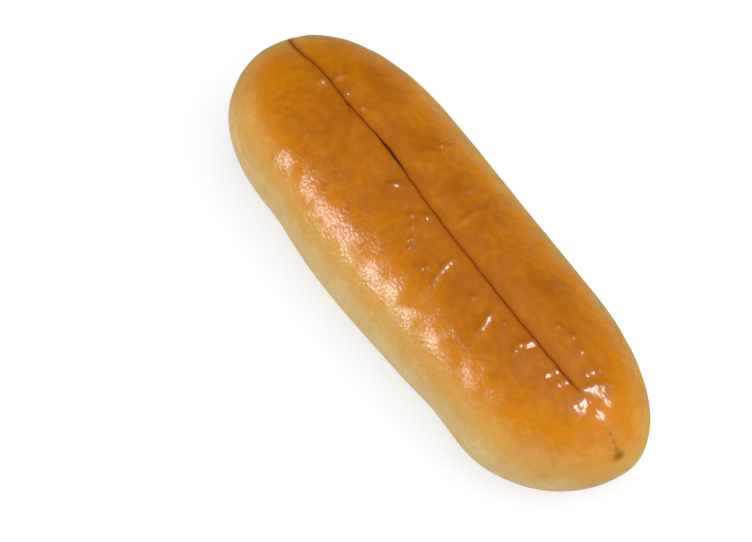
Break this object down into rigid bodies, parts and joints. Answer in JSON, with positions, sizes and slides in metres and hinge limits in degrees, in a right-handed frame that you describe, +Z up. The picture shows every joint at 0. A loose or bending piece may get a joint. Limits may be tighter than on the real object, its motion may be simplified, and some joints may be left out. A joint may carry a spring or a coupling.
{
  "type": "hot dog bun",
  "caption": "Long soft roll with a glossy browned crust, a flat base and a shut lengthwise cut along its top that opens to hold a sausage.",
  "frame": {"origin": "centre of the bun's bounding box at the level of its flat base", "axes": "+X along the length, towards the end where the cut stops short of a small pit; +Z up; +Y towards the cut's raised lip"},
  "size_m": [0.152, 0.0536, 0.0382],
  "materials": {
    "crust": "glossy golden-brown baked crust, paler towards the base"
  },
  "bodies": {
    "root": {"bun": "crust"}
  },
  "joints": []
}
